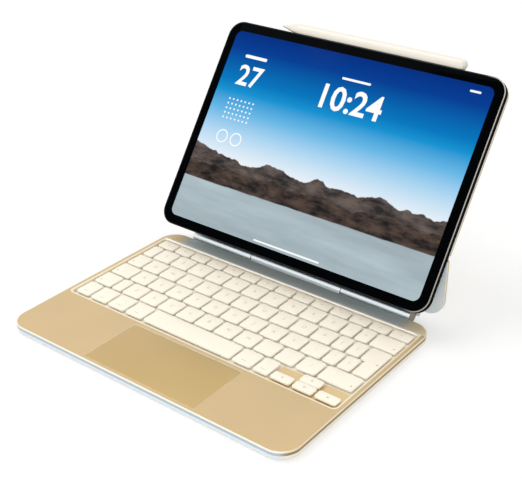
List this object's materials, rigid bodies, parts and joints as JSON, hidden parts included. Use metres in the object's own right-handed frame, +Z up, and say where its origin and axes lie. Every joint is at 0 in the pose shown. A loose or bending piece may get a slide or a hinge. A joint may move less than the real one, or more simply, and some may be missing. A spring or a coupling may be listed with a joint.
{
  "type": "tablet keyboard case",
  "caption": "Folding keyboard case with trackpad and barrel hinge, open, holding a docked tablet with a stylus on its folding cover.",
  "frame": {"origin": "middle of the base's flat underside", "axes": "+X to the typist's right, +Y away from the typist towards the hinge, +Z up out of the keys"},
  "size_m": [0.251, 0.2729, 0.1772],
  "materials": {
    "anodised_deck": "fine bead-blasted and anodised",
    "base_coating": "soft polyurethane coat",
    "cover_coating": "soft polyurethane coat",
    "glass_fibre": "laminated board",
    "well_film": "printed film",
    "keycap": "fine moulded texture",
    "trackpad_glass": "etched glass, painted on the back",
    "circuit_board": "solder mask",
    "flat_cable": "polyimide film",
    "sheet_steel": "rolled",
    "silicone": "moulded",
    "switch_plastic": "moulded",
    "hinge_aluminium": "polished and anodised",
    "magnet": "nickel plated",
    "contact_gold": "gold plated",
    "tablet_aluminium": "fine bead-blasted and anodised",
    "screen_glass": "polished, black border",
    "display": "laminated",
    "battery_foil": "foil pouch",
    "camera_glass": "polished",
    "stylus_plastic": "smooth"
  },
  "bodies": {
    "base": {"bottom_shell": "base_coating", "deck_plate": "anodised_deck", "well_tray": "well_film", "key_circuit": "circuit_board", "stiffener_plate": "sheet_steel", "key_domes": "silicone", "trackpad_pan": "sheet_steel", "trackpad_springs": "silicone", "click_switch": "switch_plastic", "logic_board": "circuit_board", "ribbon_cable": "flat_cable", "centre_knuckle": "hinge_aluminium"},
    "trackpad": {"trackpad_plate": "trackpad_glass"},
    "hinge_pin": {"hinge_pin": "sheet_steel", "friction_drums": "sheet_steel"},
    "lower_cover": {"outer_knuckles": "hinge_aluminium", "barrel_end_caps": "hinge_aluminium", "charge_port": "switch_plastic", "lower_inner_skin": "cover_coating", "lower_outer_skin": "cover_coating", "lower_core": "glass_fibre", "lower_fold_knuckles": "sheet_steel"},
    "fold_pin": {"fold_pin": "sheet_steel"},
    "upper_cover": {"upper_inner_skin": "cover_coating", "upper_outer_skin": "cover_coating", "upper_core": "glass_fibre", "upper_fold_knuckles": "sheet_steel", "magnets": "magnet", "contact_block": "switch_plastic", "contact_pins": "contact_gold"},
    "tablet": {"tablet_shell": "tablet_aluminium", "cover_glass": "screen_glass", "display_panel": "display", "batteries": "battery_foil", "camera_housing": "camera_glass", "camera_lens": "camera_glass"},
    "power_button": {"power_button": "tablet_aluminium"},
    "volume_up_button": {"volume_up_button": "tablet_aluminium"},
    "volume_down_button": {"volume_down_button": "tablet_aluminium"},
    "stylus": {"stylus_barrel": "stylus_plastic", "stylus_tip": "stylus_plastic"},
    "function_keys": {"function_keys": "keycap"},
    "number_keys": {"number_keys": "keycap"},
    "backspace_key": {"backspace_key": "keycap"},
    "tab_key": {"tab_key": "keycap"},
    "upper_letter_keys": {"upper_letter_keys": "keycap"},
    "caps_key": {"caps_key": "keycap"},
    "home_letter_keys": {"home_letter_keys": "keycap"},
    "return_key": {"return_key": "keycap"},
    "left_shift_key": {"left_shift_key": "keycap"},
    "lower_letter_keys": {"lower_letter_keys": "keycap"},
    "right_shift_key": {"right_shift_key": "keycap"},
    "modifier_keys": {"modifier_keys": "keycap"},
    "space_bar": {"space_bar": "keycap"},
    "left_arrow_key": {"left_arrow_key": "keycap"},
    "up_arrow_key": {"up_arrow_key": "keycap"},
    "down_arrow_key": {"down_arrow_key": "keycap"},
    "right_arrow_key": {"right_arrow_key": "keycap"}
  },
  "joints": [
    {"name": "barrel_hinge", "type": "hinge", "parent": "base", "child": "hinge_pin", "pos_m": [0, 0.0965, 0.0065], "axis": [-1, 0, 0], "range_deg": [-26, 0]},
    {"name": "cover_swing", "type": "hinge", "parent": "hinge_pin", "child": "lower_cover", "pos_m": [0, 0.0965, 0.0065], "axis": [-1, 0, 0], "range_deg": [-64, 0]},
    {"name": "cover_fold", "type": "hinge", "parent": "lower_cover", "child": "fold_pin", "pos_m": [0, 0.1044, 0.0576], "axis": [-1, 0, 0], "range_deg": [-34.6, 0]},
    {"name": "screen_tilt", "type": "hinge", "parent": "fold_pin", "child": "upper_cover", "pos_m": [0, 0.1044, 0.0576], "axis": [1, 0, 0], "range_deg": [0, 34]},
    {"name": "tablet_undock", "type": "slide", "parent": "upper_cover", "child": "tablet", "axis": [0, -0.8231, 0.5678], "range_m": [0, 0.05]},
    {"name": "stylus_lift", "type": "slide", "parent": "tablet", "child": "stylus", "axis": [0, -0.5678, -0.8231], "range_m": [-0.03, 0]},
    {"name": "power_press", "type": "slide", "parent": "tablet", "child": "power_button", "axis": [-1, 0, 0], "range_m": [-0.00035, 0], "stiffness_N_per_m": 800},
    {"name": "volume_up_press", "type": "slide", "parent": "tablet", "child": "volume_up_button", "axis": [0, 0.5678, 0.8231], "range_m": [-0.00035, 0], "stiffness_N_per_m": 800},
    {"name": "volume_down_press", "type": "slide", "parent": "tablet", "child": "volume_down_button", "axis": [0, 0.5678, 0.8231], "range_m": [-0.00035, 0], "stiffness_N_per_m": 800},
    {"name": "trackpad_click", "type": "slide", "parent": "base", "child": "trackpad", "axis": [0, 0, 1], "range_m": [-0.0004, 0], "stiffness_N_per_m": 3000, "deforming": ["trackpad_springs"]},
    {"name": "function_press", "type": "slide", "parent": "base", "child": "function_keys", "axis": [0, 0, 1], "range_m": [-0.001, 0], "stiffness_N_per_m": 2400, "deforming": ["key_domes"]},
    {"name": "number_press", "type": "slide", "parent": "base", "child": "number_keys", "axis": [0, 0, 1], "range_m": [-0.001, 0], "stiffness_N_per_m": 2400, "deforming": ["key_domes"]},
    {"name": "backspace_press", "type": "slide", "parent": "base", "child": "backspace_key", "axis": [0, 0, 1], "range_m": [-0.001, 0], "stiffness_N_per_m": 600, "deforming": ["key_domes"]},
    {"name": "tab_press", "type": "slide", "parent": "base", "child": "tab_key", "axis": [0, 0, 1], "range_m": [-0.001, 0], "stiffness_N_per_m": 600, "deforming": ["key_domes"]},
    {"name": "upper_letter_press", "type": "slide", "parent": "base", "child": "upper_letter_keys", "axis": [0, 0, 1], "range_m": [-0.001, 0], "stiffness_N_per_m": 2400, "deforming": ["key_domes"]},
    {"name": "caps_press", "type": "slide", "parent": "base", "child": "caps_key", "axis": [0, 0, 1], "range_m": [-0.001, 0], "stiffness_N_per_m": 600, "deforming": ["key_domes"]},
    {"name": "home_letter_press", "type": "slide", "parent": "base", "child": "home_letter_keys", "axis": [0, 0, 1], "range_m": [-0.001, 0], "stiffness_N_per_m": 2400, "deforming": ["key_domes"]},
    {"name": "return_press", "type": "slide", "parent": "base", "child": "return_key", "axis": [0, 0, 1], "range_m": [-0.001, 0], "stiffness_N_per_m": 600, "deforming": ["key_domes"]},
    {"name": "left_shift_press", "type": "slide", "parent": "base", "child": "left_shift_key", "axis": [0, 0, 1], "range_m": [-0.001, 0], "stiffness_N_per_m": 600, "deforming": ["key_domes"]},
    {"name": "lower_letter_press", "type": "slide", "parent": "base", "child": "lower_letter_keys", "axis": [0, 0, 1], "range_m": [-0.001, 0], "stiffness_N_per_m": 1800, "deforming": ["key_domes"]},
    {"name": "right_shift_press", "type": "slide", "parent": "base", "child": "right_shift_key", "axis": [0, 0, 1], "range_m": [-0.001, 0], "stiffness_N_per_m": 600, "deforming": ["key_domes"]},
    {"name": "modifier_press", "type": "slide", "parent": "base", "child": "modifier_keys", "axis": [0, 0, 1], "range_m": [-0.001, 0], "stiffness_N_per_m": 1200, "deforming": ["key_domes"]},
    {"name": "space_bar_press", "type": "slide", "parent": "base", "child": "space_bar", "axis": [0, 0, 1], "range_m": [-0.001, 0], "stiffness_N_per_m": 600, "deforming": ["key_domes"]},
    {"name": "left_arrow_press", "type": "slide", "parent": "base", "child": "left_arrow_key", "axis": [0, 0, 1], "range_m": [-0.001, 0], "stiffness_N_per_m": 600, "deforming": ["key_domes"]},
    {"name": "up_arrow_press", "type": "slide", "parent": "base", "child": "up_arrow_key", "axis": [0, 0, 1], "range_m": [-0.001, 0], "stiffness_N_per_m": 600, "deforming": ["key_domes"]},
    {"name": "down_arrow_press", "type": "slide", "parent": "base", "child": "down_arrow_key", "axis": [0, 0, 1], "range_m": [-0.001, 0], "stiffness_N_per_m": 600, "deforming": ["key_domes"]},
    {"name": "right_arrow_press", "type": "slide", "parent": "base", "child": "right_arrow_key", "axis": [0, 0, 1], "range_m": [-0.001, 0], "stiffness_N_per_m": 600, "deforming": ["key_domes"]}
  ],
  "couplings": [
    {"joint": "cover_swing", "follows": "cover_fold", "ratio": 1.8497}
  ]
}
